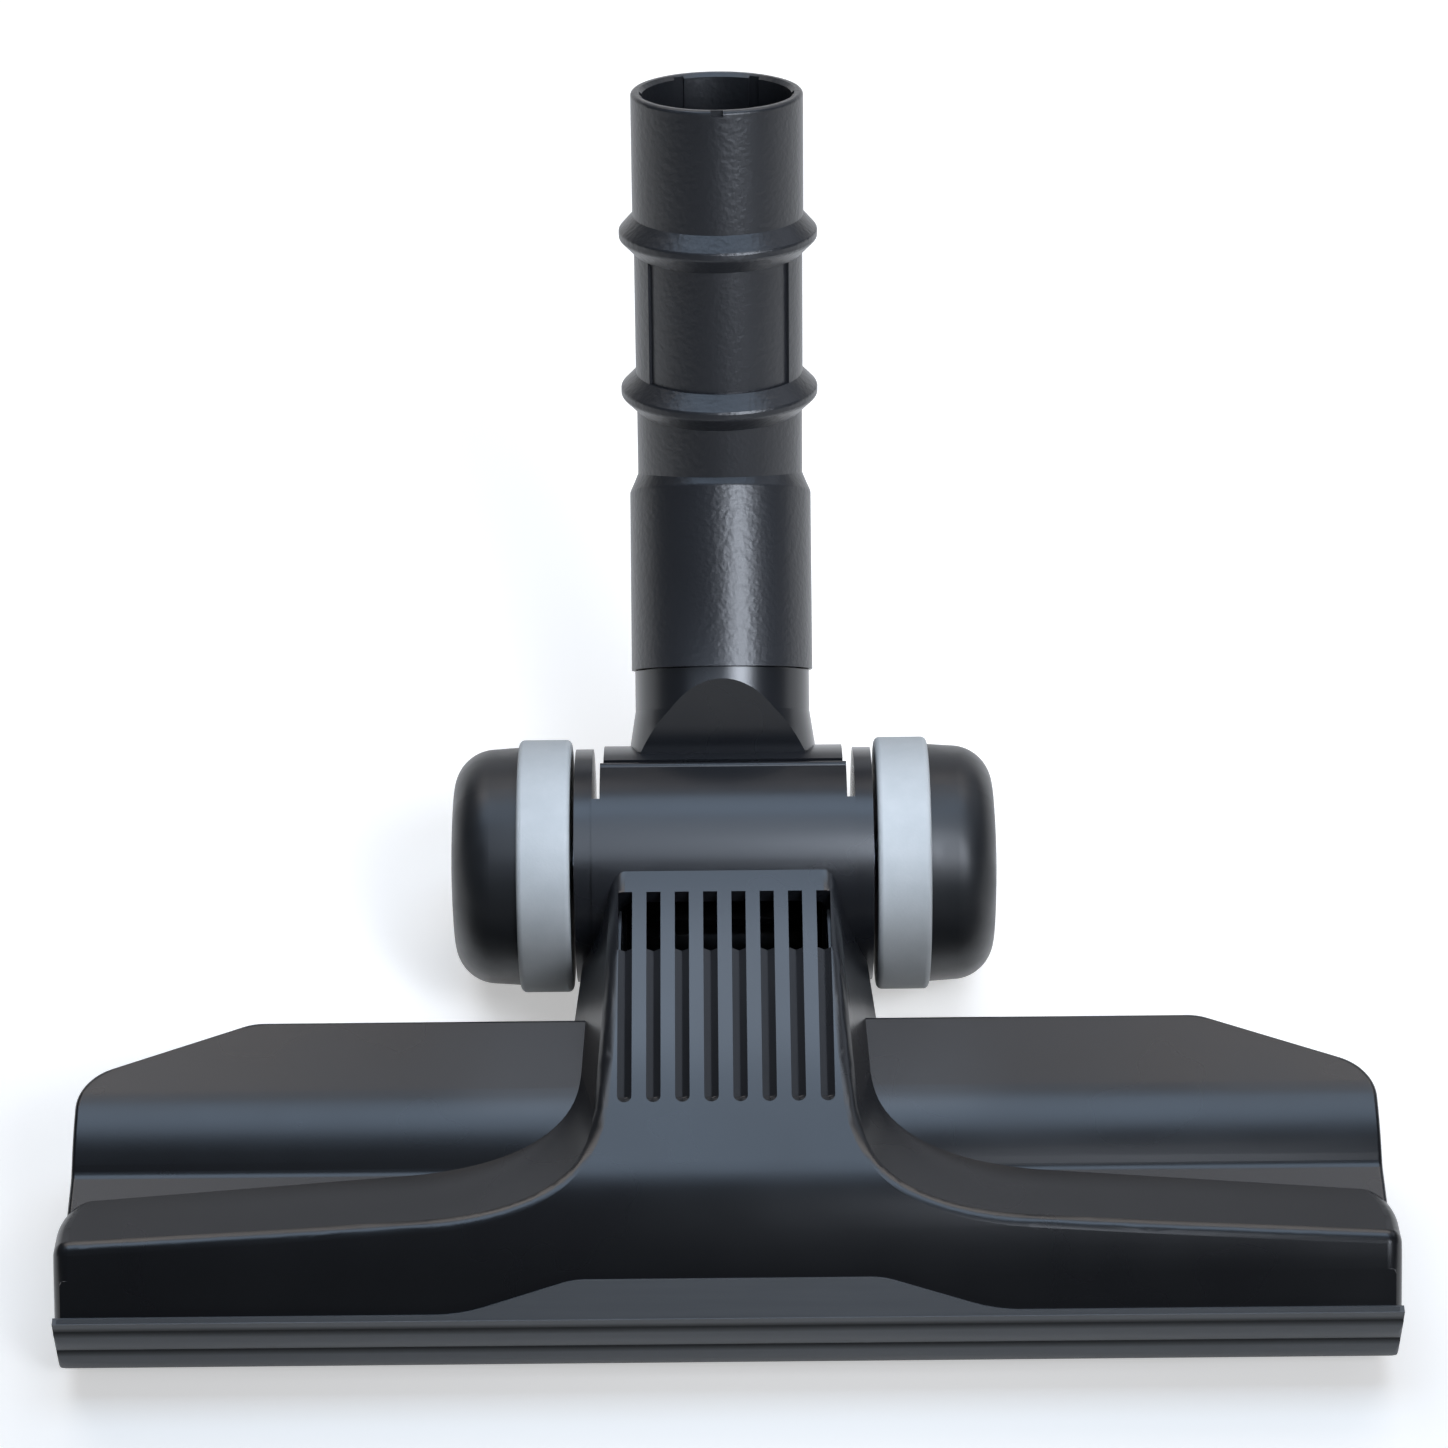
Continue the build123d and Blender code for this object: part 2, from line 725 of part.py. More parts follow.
# Drum seals: felt bands in the drum's grooves
for side, name in ((-1, "left"), (1, "right")):
    with BuildPart() as drum_seal:
        with BuildSketch(Plane.YZ.offset(side * (drum_half - seal_inset))):
            seal_outer = drum_radius + seat_gap
            add(ring_sector(drum_radius - seal_depth, seal_outer, seal_low_angle, seal_high_angle))
        extrude(amount=-side * seal_width)
    save(drum_seal, f"drum_seal_{name}")

# Swivel seal and snap ring on the elbow's spigot
with BuildPart() as swivel_seal:
    with BuildSketch(tube_section):
        with Locations((spigot_radius - spigot_seal_depth, seal_at)):
            Rectangle(spigot_seal_depth + seat_gap, spigot_seal_width, align=(Align.MIN, Align.MIN))
    revolve(axis=tube_axis)
save(swivel_seal, "swivel_seal")

with BuildPart() as snap_ring:
    with BuildSketch(section_plane(axle_centre, tube_tilt, clip_ring_gap / 2)):
        with Locations((spigot_radius - clip_groove_depth, clip_groove_at)):
            Rectangle(clip_groove_depth + clip_ring_overlap, clip_groove_width, align=(Align.MIN, Align.MIN))
    revolve(axis=tube_axis, revolution_arc=360 - clip_ring_gap)
save(snap_ring, "swivel_snap_ring")

# Wand tube: sleeve over the spigot, a slight bend, and the ringed socket for the wand
with BuildPart() as tube_bore:
    with BuildSketch(tube_section):
        with BuildLine():
            Polyline(
                (0, seam),
                (spigot_radius + fit_gap, seam),
                (spigot_radius + fit_gap, clip_groove_at - fit_gap),
                (snap_groove_radius, clip_groove_at - fit_gap),
                (snap_groove_radius, clip_groove_at + clip_groove_width + fit_gap),
                (spigot_radius + fit_gap, clip_groove_at + clip_groove_width + fit_gap),
                (spigot_radius + fit_gap, seam + spigot_length + fit_gap),
                (duct_radius, seam + spigot_length + fit_gap),
                (duct_radius, bend_at - bend_reach),
                (0, bend_at - bend_reach),
                close=True,
            )
        make_face()
    revolve(axis=tube_axis)
    with BuildSketch(cross_plane(axle_centre, tube_tilt, bend_at - bend_reach)):
        Circle(duct_radius)
    revolve(axis=bend_axis, revolution_arc=tube_tilt - wand_tilt)
    with BuildSketch(wand_section):
        with BuildLine():
            Polyline(
                (0, bend_reach),
                (duct_radius, bend_reach),
                (duct_radius, mouth - socket_depth),
                (socket_radius, mouth - socket_depth),
                (socket_radius, mouth - socket_lead),
                (socket_radius + socket_lead, mouth),
                (0, mouth),
                close=True,
            )
        make_face()
    revolve(axis=wand_axis)

with BuildPart() as swivel_tube:
    with BuildSketch(tube_section):
        with BuildLine():
            FilletPolyline(
                (0, seam + fit_gap),
                (sleeve_radius, seam + fit_gap),
                (sleeve_radius, sleeve_end),
                (shoulder_radius, shoulder_end),
                (0, shoulder_end),
                radius=(0, shoulder_round, 0),
            )
            Line((0, shoulder_end), (0, seam + fit_gap))
        make_face()
    revolve(axis=tube_axis)
    with BuildSketch(cross_plane(axle_centre, tube_tilt, bend_at - bend_reach)):
        Circle(throat_radius)
    revolve(axis=bend_axis, revolution_arc=tube_tilt - wand_tilt)
    with BuildSketch(wand_section):
        with BuildLine():
            FilletPolyline(
                (0, bend_reach),
                (throat_radius, bend_reach),
                (throat_radius, low_ring - ring_width / 2),
                (ring_radius, low_ring - ring_crown / 2),
                (ring_radius, low_ring + ring_crown / 2),
                (grip_radius, low_ring + ring_width / 2),
                (grip_radius, high_ring - ring_width / 2),
                (ring_radius, high_ring - ring_crown / 2),
                (ring_radius, high_ring + ring_crown / 2),
                (collar_radius, high_ring + ring_width / 2),
                (collar_radius, mouth),
                (0, mouth),
                radius=(0, 0, ring_round, ring_round, 0, 0, ring_round, ring_round, 0, ring_round),
            )
            Line((0, mouth), (0, bend_reach))
        make_face()
    revolve(axis=wand_axis)
    add(tube_bore.part, mode=Mode.SUBTRACT)
    # Recessed panel between the rings, flutes in the socket and a nick in its rim
    with BuildSketch(section_plane(bend_point, wand_tilt, -panel_angle / 2)):
        with Locations((grip_radius - panel_depth, low_ring + ring_width / 2)):
            Rectangle(
                ring_radius - grip_radius,
                high_ring - low_ring - ring_width,
                align=(Align.MIN, Align.MIN),
            )
    revolve(axis=wand_axis, revolution_arc=panel_angle, mode=Mode.SUBTRACT)
    with BuildSketch(cross_plane(bend_point, wand_tilt, mouth)):
        with PolarLocations(socket_radius, flute_count):
            Rectangle(flute_depth * 2, flute_width)
    extrude(amount=-socket_depth, mode=Mode.SUBTRACT)
    with BuildSketch(cross_plane(bend_point, wand_tilt, mouth)):
        with Locations((0, -collar_radius)):
            Rectangle(nick_width, nick_depth * 2)
    extrude(amount=-nick_depth, mode=Mode.SUBTRACT)
save(swivel_tube, "swivel_tube")


# Wheels: hub with its tyre and cap, turning on a pin held in the ear
def rectangle_ring(plane, near, far, inner, outer):
    """Half section of a plain ring around the axle, between two distances from the middle."""
    with BuildPart() as ring:
        with BuildSketch(plane):
            with Locations((near, inner)):
                Rectangle(far - near, outer - inner, align=(Align.MIN, Align.MIN))
        revolve(axis=axle_axis)
    return ring


for side, name in ((-1, "left"), (1, "right")):
    wheel_section = Plane(origin=axle_centre, x_dir=(side, 0, 0), z_dir=(0, -side, 0))

    with BuildPart() as wheel_hub:
        with BuildSketch(wheel_section):
            with BuildLine():
                Polyline(
                    (wheel_inner, pin_radius + running_gap),
                    (wheel_inner, tyre_seat),
                    (cap_inner, tyre_seat),
                    (cap_inner, tyre_seat - wheel_wall),
                    (wheel_inner + wheel_wall, tyre_seat - wheel_wall),
                    (wheel_inner + wheel_wall, hub_radius),
                    (wheel_inner + hub_length, hub_radius),
                    (wheel_inner + hub_length, pin_radius + running_gap),
                    close=True,
                )
            make_face()
        revolve(axis=axle_axis)
    save(wheel_hub, f"wheel_hub_{name}")

    with BuildPart() as wheel_cap:
        with BuildSketch(wheel_section) as cap_face:
            with BuildLine():
                dome = CenterArc((cap_outer - dome_radius, 0), dome_radius, 0, dome_angle)
                Polyline(dome @ 0, (cap_inner, 0), (cap_inner, cap_radius), dome @ 1)
            make_face()
            fillet(cap_face.vertices().sort_by(lambda corner: corner.X + corner.Y)[-1], cap_corner)
        revolve(axis=axle_axis)
        with BuildSketch(wheel_section):
            with BuildLine():
                Polyline(
                    (cap_inner, 0),
                    (cap_inner, plug_inner),
                    (cap_inner + wheel_wall, plug_inner),
                    (cap_inner + wheel_wall, dome_edge - wheel_wall),
                    (cap_outer - cap_dome - cap_corner, dome_edge - wheel_wall),
                    (cap_outer - cap_dome - wheel_wall, dome_edge - cap_corner),
                    (cap_outer - cap_dome - wheel_wall, 0),
                    close=True,
                )
            make_face()
        revolve(axis=axle_axis, mode=Mode.SUBTRACT)
        with BuildSketch(wheel_section):
            with Locations((cap_inner - cap_plug, plug_inner)):
                Rectangle(cap_plug, plug_outer - plug_inner, align=(Align.MIN, Align.MIN))
        revolve(axis=axle_axis)
    save(wheel_cap, f"wheel_cap_{name}")

    with BuildPart() as tyre:
        with BuildSketch(wheel_section):
            with BuildLine():
                FilletPolyline(
                    (wheel_inner, tyre_seat),
                    (wheel_inner, wheel_radius),
                    (cap_inner, wheel_radius),
                    (cap_inner, tyre_seat),
                    radius=tyre_edge,
                )
                Line((cap_inner, tyre_seat), (wheel_inner, tyre_seat))
            make_face()
        revolve(axis=axle_axis)
    save(tyre, f"tyre_{name}")

    pin_end = clip_at + clip_thickness + pin_tail
    save(rectangle_ring(wheel_section, drum_half - pin_grip, pin_end, 0, pin_radius), f"axle_pin_{name}")
    save(
        rectangle_ring(wheel_section, barrel_half, barrel_half + washer_thickness, pin_radius, washer_radius),
        f"wheel_washer_{name}",
    )
    save(
        rectangle_ring(wheel_section, clip_at, clip_at + clip_thickness, pin_radius, clip_radius),
        f"wheel_clip_{name}",
    )

# Bumper strip: a thin lip and two beads across the front, with a tab up the middle of the front face
with BuildPart() as bumper_strip:
    with BuildSketch(Plane.YZ):
        with BuildLine():
            Polyline(
                side_point(bumper_waist, bumper_top),
                side_point(skirt_front, bumper_top),
                side_point(skirt_front, bumper_bottom),
                side_point(bumper_waist, bumper_bottom),
            )
            Line(side_point(bumper_waist, bumper_top), side_point(bumper_waist, bumper_top - bumper_ledge))
            for low in (bumper_bottom, bumper_bottom + bead_height):
                ThreePointArc(
                    side_point(bumper_waist, low),
                    side_point(axle_to_front, low + bead_height / 2),
                    side_point(bumper_waist, low + bead_height),
                )
        make_face()
    extrude(amount=head_half, both=True)
    with BuildSketch():
        with Locations((0, axle_y - axle_to_front)):
            RectangleRounded(head_width, axle_to_front, bumper_edge, align=(Align.CENTER, Align.MIN))
    extrude(amount=bumper_top, mode=Mode.INTERSECT)
    with BuildSketch(Plane.XZ):
        with Locations((0, bumper_bottom)):
            RectangleRounded(head_width, axle_to_front, bumper_corner, align=(Align.CENTER, Align.MIN))
    extrude(amount=axle_to_front * 2, mode=Mode.INTERSECT)
    with BuildSketch(front_face):
        with BuildLine():
            FilletPolyline(
                (0, -tab_thickness),
                (head_half - bumper_edge, -tab_thickness),
                (head_half - bumper_edge, 0),
                (tab_half_foot, 0),
                (tab_half_top, tab_height),
                (0, tab_height),
                radius=(0, 0, tab_sweep, tab_round),
            )
            mirror(about=Plane.YZ)
        make_face()
    extrude(amount=tab_thickness)
save(bumper_strip, "bumper_strip")

# Base plate: the sole with the suction mouth and the troughs of the brushes
brushes = (
    ("front", front_brush_at, front_brush_half),
    ("rear", rear_brush_at, rear_brush_half),
)

with BuildPart() as base_plate:
    with BuildSketch(Plane.XY.offset(skirt_bottom)):
        add(head_outline(wall + seat_gap))
        with Locations((0, axle_y - (mouth_front + mouth_rear) / 2)):
            RectangleRounded(mouth_half * 2, mouth_front - mouth_rear, mouth_corner, mode=Mode.SUBTRACT)
    extrude(amount=sole_thickness)
    for _, ahead, half in brushes:
        with BuildSketch(Plane.XY.offset(skirt_bottom)):
            with Locations((0, axle_y - ahead)):
                Rectangle((half + trough_margin) * 2, brush_width + trough_margin * 2)
        extrude(amount=trough_ceiling + trough_wall - skirt_bottom)
    for _, ahead, half in brushes:
        with BuildSketch(Plane.XY.offset(skirt_bottom)):
            with Locations((0, axle_y - ahead)):
                Rectangle((half + seat_gap) * 2, brush_width + seat_gap * 2)
        extrude(amount=trough_ceiling - skirt_bottom, mode=Mode.SUBTRACT)
    with BuildSketch(Plane.XY.offset(skirt_bottom)):
        with Locations(spots(sole_screw_half, sole_screw_places)):
            Circle(screw_head_radius + seat_gap)
    extrude(amount=screw_head_height, mode=Mode.SUBTRACT)
    with BuildSketch(Plane.XY.offset(screw_seat)):
        with Locations(spots(sole_screw_half, sole_screw_places)):
            Circle(screw_radius + seat_gap)
    extrude(amount=sole_thickness, mode=Mode.SUBTRACT)
save(base_plate, "base_plate")

# Brushes: a grooved holder with a comb of bristle tufts
for name, ahead, half in brushes:
    with BuildPart() as brush_holder:
        with BuildSketch(Plane.XY.offset(brush_bottom)):
            with Locations((0, axle_y - ahead)):
                Rectangle(half * 2, brush_width)
        extrude(amount=brush_height)
        with BuildSketch(Plane.XY.offset(brush_bottom)):
            with Locations((0, axle_y - ahead)):
                Rectangle((half - trough_wall) * 2, bristle_width)
        extrude(amount=bristle_sink, mode=Mode.SUBTRACT)
    save(brush_holder, f"{name}_brush_holder")

    tuft_count = int((half - trough_wall) * 2 / tuft_pitch)
    with BuildPart() as bristles:
        with BuildSketch(Plane.XY.offset(brush_bottom)):
            with Locations((0, axle_y - ahead)):
                Rectangle((half - trough_wall) * 2, bristle_width)
        extrude(amount=bristle_sink)
        with BuildSketch():
            with Locations((0, axle_y - ahead)):
                with GridLocations(tuft_pitch, bristle_width, tuft_count, 1):
                    Rectangle(tuft_width, bristle_width)
        extrude(amount=brush_bottom)
    save(bristles, f"{name}_bristles")

# Screws
for label, places in (
    ("base_screws", spots(sole_screw_half, sole_screw_places)),
    ("neck_cover_screws", spots(cover_screw_half, (cover_screw_at,))),
):
    with BuildPart() as screws:
        with BuildSketch(Plane.XY.offset(skirt_bottom)):
            with Locations(places):
                Circle(screw_head_radius)
                Rectangle(drive_length, drive_width, mode=Mode.SUBTRACT)
                Rectangle(drive_width, drive_length, mode=Mode.SUBTRACT)
        extrude(amount=drive_depth)
        with BuildSketch(Plane.XY.offset(skirt_bottom + drive_depth)):
            with Locations(places):
                Circle(screw_head_radius)
        extrude(amount=screw_head_height - drive_depth)
        with BuildSketch(Plane.XY.offset(screw_seat)):
            with Locations(places):
                Circle(screw_radius)
        extrude(amount=screw_length)
    save(screws, label)
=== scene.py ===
# %% [markdown]
# This lesson dresses a vacuum floor brush head that was built and packed as CAD solids. The solids
# already have the true shapes, so most of the work here is finish: moulded plastic, soft grey tyres, a
# rubbery bumper, plated steel and two strips of bristles. The first step loads the imported model and
# moves each part's placement into its mesh. A helper measures the box of a part, which the bristles fill.
# The looks must not make it larger.

# %% Load the imported model
import math
import random

import bmesh
import bpy
from mathutils import Matrix, Vector


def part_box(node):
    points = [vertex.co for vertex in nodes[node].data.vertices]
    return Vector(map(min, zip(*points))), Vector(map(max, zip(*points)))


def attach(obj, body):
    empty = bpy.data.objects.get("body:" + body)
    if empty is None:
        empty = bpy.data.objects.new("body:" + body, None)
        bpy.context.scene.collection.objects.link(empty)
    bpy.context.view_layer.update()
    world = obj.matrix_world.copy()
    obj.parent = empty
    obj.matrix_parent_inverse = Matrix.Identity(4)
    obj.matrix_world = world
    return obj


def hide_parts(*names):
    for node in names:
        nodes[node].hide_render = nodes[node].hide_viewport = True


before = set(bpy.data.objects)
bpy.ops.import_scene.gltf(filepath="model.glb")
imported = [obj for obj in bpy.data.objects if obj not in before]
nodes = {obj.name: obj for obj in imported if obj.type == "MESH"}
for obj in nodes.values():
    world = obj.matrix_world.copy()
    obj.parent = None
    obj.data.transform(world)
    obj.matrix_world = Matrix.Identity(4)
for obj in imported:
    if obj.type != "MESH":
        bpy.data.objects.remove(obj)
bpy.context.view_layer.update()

# %% [markdown]
# The photograph looks down on the head from the front. The ellipses of the tube's mouth and rings give
# the height of the view: 48 degrees above level, about a metre away, with a long lens. A camera could be
# placed by typing Euler angles. Here its axes are built from the view direction, which is safer, because
# the target then stays in the middle of the picture. The picture is turned by half a degree, so the
# camera is rolled by that much.

# %% Camera
PHOTO_SIDE = 1448.0      # pixels
FOCAL_LENGTH = 4580.0    # pixels of the photograph
SENSOR_WIDTH = 36.0      # millimetres
VIEW_ELEVATION = math.radians(48.0)
VIEW_ROLL = math.radians(-0.55)
VIEW_DISTANCE = 1.0
VIEW_TARGET = Vector((0.0003, 0.0207, 0.048))
NEAREST_SEEN = 0.01

scene = bpy.context.scene
camera_data = bpy.data.cameras.new("photo_camera")
camera_data.sensor_width = SENSOR_WIDTH
camera_data.lens = SENSOR_WIDTH * FOCAL_LENGTH / PHOTO_SIDE
camera_data.clip_start = NEAREST_SEEN
camera = bpy.data.objects.new("photo_camera", camera_data)
scene.collection.objects.link(camera)
towards_camera = Vector((0.0, -math.cos(VIEW_ELEVATION), math.sin(VIEW_ELEVATION)))
camera.location = VIEW_TARGET + towards_camera * VIEW_DISTANCE
aim = towards_camera.to_track_quat("Z", "Y").to_matrix()
camera.rotation_euler = (aim @ Matrix.Rotation(VIEW_ROLL, 3, "Z")).to_euler()
scene.camera = camera
scene.view_settings.view_transform = "Standard"
print("camera at", [round(v, 3) for v in camera.location], "lens", round(camera_data.lens, 1))

# %% [markdown]
# A colour picker gives sRGB hex values, but Blender's shaders work with linear numbers. One function
# turns the first into the second, so that every colour in this file can be written the way it is seen on
# a screen.


# %% Colours
def linear(hex_code):
    """Linear RGBA of an sRGB hex value."""
    values = [int(hex_code[i:i + 2], 16) / 255 for i in (1, 3, 5)]
    return tuple(v / 12.92 if v <= 0.04045 else ((v + 0.055) / 1.055) ** 2.4 for v in values) + (1.0,)


print("a middle grey is", [round(v, 3) for v in linear("#808080")])

# %% [markdown]
# A material is a small network of nodes. One function adds any node, with its settings, its values and
# its links, so that a material reads as a list of what it is made of. Patterns follow the object's own
# coordinates. These are turned into millimetres here, so a pattern's scale is one divided by its real
# size.

# %% Nodes and materials
MM_PER_METRE = 1000.0
NOISE_LOW = 0.3      # most of a noise lies between these two values
NOISE_HIGH = 0.7


def add_node(tree, kind, links=None, inputs=None, **settings):
    """Adds a node, sets its settings and input values, and links its inputs from other sockets."""
    node = tree.nodes.new(kind)
    for name, value in settings.items():
        setattr(node, name, value)
    for name, value in (inputs or {}).items():
        node.inputs[name].default_value = value
    for name, socket in (links or {}).items():
        tree.links.new(socket, node.inputs[name])
    return node


def new_material(name):
    """An empty node material, its tree, and the object's coordinates in millimetres."""
    material = bpy.data.materials.new(name)
    material.use_nodes = True
    tree = material.node_tree
    tree.nodes.clear()
    place = add_node(tree, "ShaderNodeTexCoord")
    in_mm = add_node(
        tree,
        "ShaderNodeVectorMath",
        {0: place.outputs["Object"]},
        {"Scale": MM_PER_METRE},
        operation="SCALE",
    )
    return material, tree, in_mm.outputs["Vector"]


def dress(material, *names):
    """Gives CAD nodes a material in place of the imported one."""
    for name in names:
        mesh = nodes[name].data
        mesh.materials.clear()
        mesh.materials.append(material)
    print(material.name, "on", ", ".join(names))


# %% [markdown]
# The housing is injection-moulded ABS in charcoal. It left a finely spark-eroded mould, so its surface
# is a satin with a grain of about a third of a millimetre, and the pigment is a little uneven over some
# centimetres. ABS has an IOR near 1.54. The colour is almost black: what reads as grey in the photograph
# is the soft light in the satin. The grain could be modelled, but it is far finer than any edge, so bump
# does it.

# %% Moulded ABS of the housing
SPARK_GRAIN = 0.35      # millimetres
PIGMENT_CLOUD = 28.0    # millimetres

housing_abs, tree, mm = new_material("moulded_abs_charcoal")
grain = add_node(
    tree,
    "ShaderNodeTexNoise",
    {"Vector": mm},
    {"Scale": 1 / SPARK_GRAIN, "Detail": 3.0, "Roughness": 0.6},
)
cloud = add_node(tree, "ShaderNodeTexNoise", {"Vector": mm}, {"Scale": 1 / PIGMENT_CLOUD, "Detail": 2.0})
tint = add_node(
    tree,
    "ShaderNodeMix",
    {"Factor": cloud.outputs["Fac"]},
    {"A": linear("#131417"), "B": linear("#17181B")},
    data_type="RGBA",
)
satin = add_node(
    tree,
    "ShaderNodeMapRange",
    {"Value": cloud.outputs["Fac"]},
    {"From Min": NOISE_LOW, "From Max": NOISE_HIGH, "To Min": 0.26, "To Max": 0.31},
)
bump = add_node(
    tree,
    "ShaderNodeBump",
    {"Height": grain.outputs["Fac"]},
    {"Strength": 0.06, "Distance": 0.0001},
)
shader = add_node(
    tree,
    "ShaderNodeBsdfPrincipled",
    {
        "Base Color": tint.outputs["Result"],
        "Roughness": satin.outputs["Result"],
        "Normal": bump.outputs["Normal"],
    },
    {"IOR": 1.54},
)
add_node(tree, "ShaderNodeOutputMaterial", {"Surface": shader.outputs["BSDF"]})
dress(housing_abs, "top_shell", "neck_cover", "base_plate", "elbow")

# %% [markdown]
# The wand tube is the same plastic with a gentle orange-peel waviness, which breaks a highlight into
# speckles. The waves are a little over a millimetre wide and very shallow. A stronger bump would look
# like hammered metal.

# %% Orange-peel ABS of the wand tube
PEEL_WAVE = 1.3       # millimetres
TUBE_CLOUD = 22.0     # millimetres

tube_abs, tree, mm = new_material("moulded_abs_orange_peel")
peel = add_node(
    tree,
    "ShaderNodeTexNoise",
    {"Vector": mm},
    {"Scale": 1 / PEEL_WAVE, "Detail": 1.5, "Roughness": 0.5},
)
cloud = add_node(tree, "ShaderNodeTexNoise", {"Vector": mm}, {"Scale": 1 / TUBE_CLOUD, "Detail": 2.0})
tint = add_node(
    tree,
    "ShaderNodeMix",
    {"Factor": cloud.outputs["Fac"]},
    {"A": linear("#1F2023"), "B": linear("#242528")},
    data_type="RGBA",
)
bump = add_node(
    tree,
    "ShaderNodeBump",
    {"Height": peel.outputs["Fac"]},
    {"Strength": 0.2, "Distance": 0.0005},
)
shader = add_node(
    tree,
    "ShaderNodeBsdfPrincipled",
    {"Base Color": tint.outputs["Result"], "Normal": bump.outputs["Normal"]},
    {"IOR": 1.54, "Roughness": 0.37},
)
add_node(tree, "ShaderNodeOutputMaterial", {"Surface": shader.outputs["BSDF"]})
dress(tube_abs, "swivel_tube")

# %% [markdown]
# The wheel caps and hubs are moulded polypropylene, the same black but with a waxier, softer sheen.
# Small scuffs change the roughness more than the colour, so a noise of some millimetres drives the
# roughness.

# %% Polypropylene of the wheels
WHEEL_GRAIN = 0.4     # millimetres
WHEEL_SCUFF = 6.0     # millimetres

wheel_pp, tree, mm = new_material("moulded_polypropylene_black")
grain = add_node(tree, "ShaderNodeTexNoise", {"Vector": mm}, {"Scale": 1 / WHEEL_GRAIN, "Detail": 3.0})
scuff = add_node(tree, "ShaderNodeTexNoise", {"Vector": mm}, {"Scale": 1 / WHEEL_SCUFF, "Detail": 4.0})
satin = add_node(
    tree,
    "ShaderNodeMapRange",
    {"Value": scuff.outputs["Fac"]},
    {"From Min": NOISE_LOW, "From Max": NOISE_HIGH, "To Min": 0.36, "To Max": 0.46},
)
bump = add_node(
    tree,
    "ShaderNodeBump",
    {"Height": grain.outputs["Fac"]},
    {"Strength": 0.06, "Distance": 0.0001},
)
shader = add_node(
    tree,
    "ShaderNodeBsdfPrincipled",
    {"Roughness": satin.outputs["Result"], "Normal": bump.outputs["Normal"]},
    {"Base Color": linear("#17181A"), "IOR": 1.49},
)
add_node(tree, "ShaderNodeOutputMaterial", {"Surface": shader.outputs["BSDF"]})
dress(wheel_pp, "wheel_cap_left", "wheel_cap_right", "wheel_hub_left", "wheel_hub_right")

# %% [markdown]
# The tyres are a pale grey thermoplastic rubber. It is matt, a little mottled, and carries a faint grey
# bloom from the floor. The mottle is only a small step between two greys, because a clean tyre is nearly
# even.

# %% Soft rubber of the tyres
TYRE_MOTTLE = 5.0     # millimetres
TYRE_GRAIN = 0.5      # millimetres

tyre_tpe, tree, mm = new_material("thermoplastic_rubber_pale_grey")
mottle = add_node(
    tree,
    "ShaderNodeTexNoise",
    {"Vector": mm},
    {"Scale": 1 / TYRE_MOTTLE, "Detail": 4.0, "Roughness": 0.6},
)
grain = add_node(tree, "ShaderNodeTexNoise", {"Vector": mm}, {"Scale": 1 / TYRE_GRAIN, "Detail": 3.0})
tint = add_node(
    tree,
    "ShaderNodeMix",
    {"Factor": mottle.outputs["Fac"]},
    {"A": linear("#A0A2A1"), "B": linear("#B1B2B0")},
    data_type="RGBA",
)
bump = add_node(
    tree,
    "ShaderNodeBump",
    {"Height": grain.outputs["Fac"]},
    {"Strength": 0.15, "Distance": 0.00015},
)
shader = add_node(
    tree,
    "ShaderNodeBsdfPrincipled",
    {"Base Color": tint.outputs["Result"], "Normal": bump.outputs["Normal"]},
    {"IOR": 1.5, "Roughness": 0.62},
)
add_node(tree, "ShaderNodeOutputMaterial", {"Surface": shader.outputs["BSDF"]})
dress(tyre_tpe, "tyre_left", "tyre_right")

# %% [markdown]
# The bumper is the same kind of rubber in dark grey, extruded, so its bloom runs in long streaks: a
# noise that is squeezed along the strip. Two beads and a lip run along it, and shade is painted into the
# grooves between them. The grooves are in the solid, but they are shallow and pale light fills them. So
# the colour is darkened as painted shade near the height of each groove: the height above the foot is
# folded into a zigzag that is zero at every groove.

# %% Streaks and painted groove shade of the bumper
STREAK_WIDTH = 1.8       # millimetres across the strip
STREAK_SQUEEZE = 0.06    # so a streak is some 30 millimetres long
BEAD_PITCH = 6.55        # millimetres from groove to groove
BEADS_SHADED = 2.5       # bead heights above the foot; the tab above has no grooves
# Painted shade in the grooves: full within the first distance, fading to the rubber's own colour by the
# second.
GROOVE_SHADE_FULL = 0.25       # millimetres from the groove that are fully dark
GROOVE_SHADE_END = 1.3       # millimetres from the groove where the dark ends

bumper_tpe, tree, mm = new_material("thermoplastic_rubber_dark_grey")
stretch = add_node(tree, "ShaderNodeMapping", {"Vector": mm}, {"Scale": (STREAK_SQUEEZE, 1.0, 1.0)})
streak = add_node(
    tree,
    "ShaderNodeTexNoise",
    {"Vector": stretch.outputs["Vector"]},
    {"Scale": 1 / STREAK_WIDTH, "Detail": 3.0},
)
tint = add_node(
    tree,
    "ShaderNodeMix",
    {"Factor": streak.outputs["Fac"]},
    {"A": linear("#56585A"), "B": linear("#626466")},
    data_type="RGBA",
)
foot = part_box("bumper_strip")[0].z * MM_PER_METRE
shaded_end = foot + BEADS_SHADED * BEAD_PITCH
height = add_node(tree, "ShaderNodeSeparateXYZ", {"Vector": mm})
capped = add_node(tree, "ShaderNodeMath", {0: height.outputs["Z"]}, {1: shaded_end}, operation="MINIMUM")
above = add_node(tree, "ShaderNodeMath", {0: capped.outputs["Value"]}, {1: foot}, operation="SUBTRACT")
zigzag = add_node(
    tree,
    "ShaderNodeMath",
    {0: above.outputs["Value"]},
    {1: BEAD_PITCH / 2},
    operation="PINGPONG",
)
# Painted shade mask: zero in a groove, one where the rubber's own colour is clear of the painted shade.
clear = add_node(
    tree,
    "ShaderNodeMapRange",
    {"Value": zigzag.outputs["Value"]},
    {"From Min": GROOVE_SHADE_FULL, "From Max": GROOVE_SHADE_END, "To Min": 0.0, "To Max": 1.0},
)
print("bumper foot at", round(foot, 2), "mm, grooves every", BEAD_PITCH, "mm")

# %% Dark rubber of the bumper
BUMPER_GRAIN = 0.4       # millimetres
